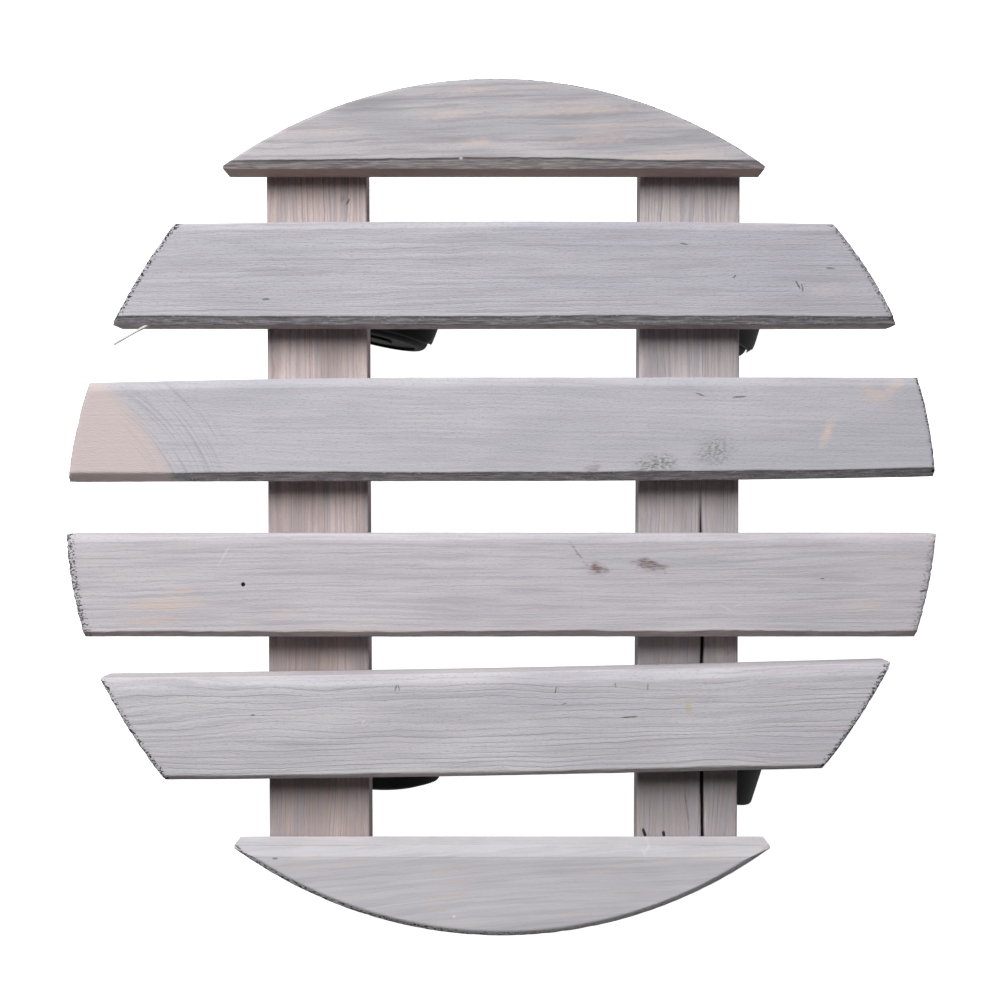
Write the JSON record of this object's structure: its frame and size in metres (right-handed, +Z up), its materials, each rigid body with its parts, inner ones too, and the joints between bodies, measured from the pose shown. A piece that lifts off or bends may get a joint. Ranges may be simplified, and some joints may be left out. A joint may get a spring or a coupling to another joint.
{
  "type": "plant caddy",
  "caption": "Round slatted wooden plant caddy on swivelling twin-wheel castors, for moving a heavy pot across a floor.",
  "frame": {"origin": "on the floor under the centre of the round deck", "axes": "+Z up, +X to the right along the slats, +Y to the back across the slats"},
  "size_m": [0.3794, 0.38, 0.087],
  "materials": {
    "slat_wood": "rough-sawn softwood with a thin grey wash, brushed grain, bare tan streaks",
    "batten_wood": "sawn softwood with a thinner grey-brown wash",
    "screw_steel": "zinc-plated steel",
    "plate_steel": "zinc-plated pressed steel",
    "hood_plastic": "black moulded nylon, satin",
    "wheel_plastic": "black moulded nylon, scuffed tread"
  },
  "bodies": {
    "deck": {"slat_back_end": "slat_wood", "slat_back": "slat_wood", "slat_centre_back": "slat_wood", "slat_centre_front": "slat_wood", "slat_front": "slat_wood", "slat_front_end": "slat_wood", "batten_left": "batten_wood", "batten_right": "batten_wood", "slat_screws": "screw_steel", "castor_screws": "screw_steel", "castor_back_left_plate": "plate_steel", "castor_back_left_stem": "plate_steel", "castor_back_left_clip": "plate_steel", "castor_back_right_plate": "plate_steel", "castor_back_right_stem": "plate_steel", "castor_back_right_clip": "plate_steel", "castor_front_left_plate": "plate_steel", "castor_front_left_stem": "plate_steel", "castor_front_left_clip": "plate_steel", "castor_front_right_plate": "plate_steel", "castor_front_right_stem": "plate_steel", "castor_front_right_clip": "plate_steel"},
    "castor_back_left": {"castor_back_left_hood": "hood_plastic", "castor_back_left_axle": "plate_steel"},
    "castor_back_left_wheel_right": {"castor_back_left_wheel_right": "wheel_plastic"},
    "castor_back_left_wheel_left": {"castor_back_left_wheel_left": "wheel_plastic"},
    "castor_back_right": {"castor_back_right_hood": "hood_plastic", "castor_back_right_axle": "plate_steel"},
    "castor_back_right_wheel_right": {"castor_back_right_wheel_right": "wheel_plastic"},
    "castor_back_right_wheel_left": {"castor_back_right_wheel_left": "wheel_plastic"},
    "castor_front_left": {"castor_front_left_hood": "hood_plastic", "castor_front_left_axle": "plate_steel"},
    "castor_front_left_wheel_right": {"castor_front_left_wheel_right": "wheel_plastic"},
    "castor_front_left_wheel_left": {"castor_front_left_wheel_left": "wheel_plastic"},
    "castor_front_right": {"castor_front_right_hood": "hood_plastic", "castor_front_right_axle": "plate_steel"},
    "castor_front_right_wheel_right": {"castor_front_right_wheel_right": "wheel_plastic"},
    "castor_front_right_wheel_left": {"castor_front_right_wheel_left": "wheel_plastic"}
  },
  "joints": [
    {"name": "castor_back_left_swivel", "type": "hinge", "parent": "deck", "child": "castor_back_left", "pos_m": [-0.08025, 0.1108, 0.0562], "axis": [0, 0, 1], "continuous": true},
    {"name": "castor_back_left_wheel_right_spin", "type": "hinge", "parent": "castor_back_left", "child": "castor_back_left_wheel_right", "pos_m": [-0.05677, 0.10581, 0.025], "axis": [0.2079, 0.9781, 0], "continuous": true},
    {"name": "castor_back_left_wheel_left_spin", "type": "hinge", "parent": "castor_back_left", "child": "castor_back_left_wheel_left", "pos_m": [-0.05677, 0.10581, 0.025], "axis": [0.2079, 0.9781, 0], "continuous": true},
    {"name": "castor_back_right_swivel", "type": "hinge", "parent": "deck", "child": "castor_back_right", "pos_m": [0.08025, 0.1108, 0.0562], "axis": [0, 0, 1], "continuous": true},
    {"name": "castor_back_right_wheel_right_spin", "type": "hinge", "parent": "castor_back_right", "child": "castor_back_right_wheel_right", "pos_m": [0.1032, 0.10378, 0.025], "axis": [0.2924, 0.9563, 0], "continuous": true},
    {"name": "castor_back_right_wheel_left_spin", "type": "hinge", "parent": "castor_back_right", "child": "castor_back_right_wheel_left", "pos_m": [0.1032, 0.10378, 0.025], "axis": [0.2924, 0.9563, 0], "continuous": true},
    {"name": "castor_front_left_swivel", "type": "hinge", "parent": "deck", "child": "castor_front_left", "pos_m": [-0.08025, -0.1108, 0.0562], "axis": [0, 0, 1], "continuous": true},
    {"name": "castor_front_left_wheel_right_spin", "type": "hinge", "parent": "castor_front_left", "child": "castor_front_left_wheel_right", "pos_m": [-0.05625, -0.11122, 0.025], "axis": [0.0175, 0.9998, 0], "continuous": true},
    {"name": "castor_front_left_wheel_left_spin", "type": "hinge", "parent": "castor_front_left", "child": "castor_front_left_wheel_left", "pos_m": [-0.05625, -0.11122, 0.025], "axis": [0.0175, 0.9998, 0], "continuous": true},
    {"name": "castor_front_right_swivel", "type": "hinge", "parent": "deck", "child": "castor_front_right", "pos_m": [0.08025, -0.1088, 0.0562], "axis": [0, 0, 1], "continuous": true},
    {"name": "castor_front_right_wheel_right_spin", "type": "hinge", "parent": "castor_front_right", "child": "castor_front_right_wheel_right", "pos_m": [0.10307, -0.11621, 0.025], "axis": [0.309, 0.9511, 0], "continuous": true},
    {"name": "castor_front_right_wheel_left_spin", "type": "hinge", "parent": "castor_front_right", "child": "castor_front_right_wheel_left", "pos_m": [0.10307, -0.11621, 0.025], "axis": [0.309, 0.9511, 0], "continuous": true}
  ]
}
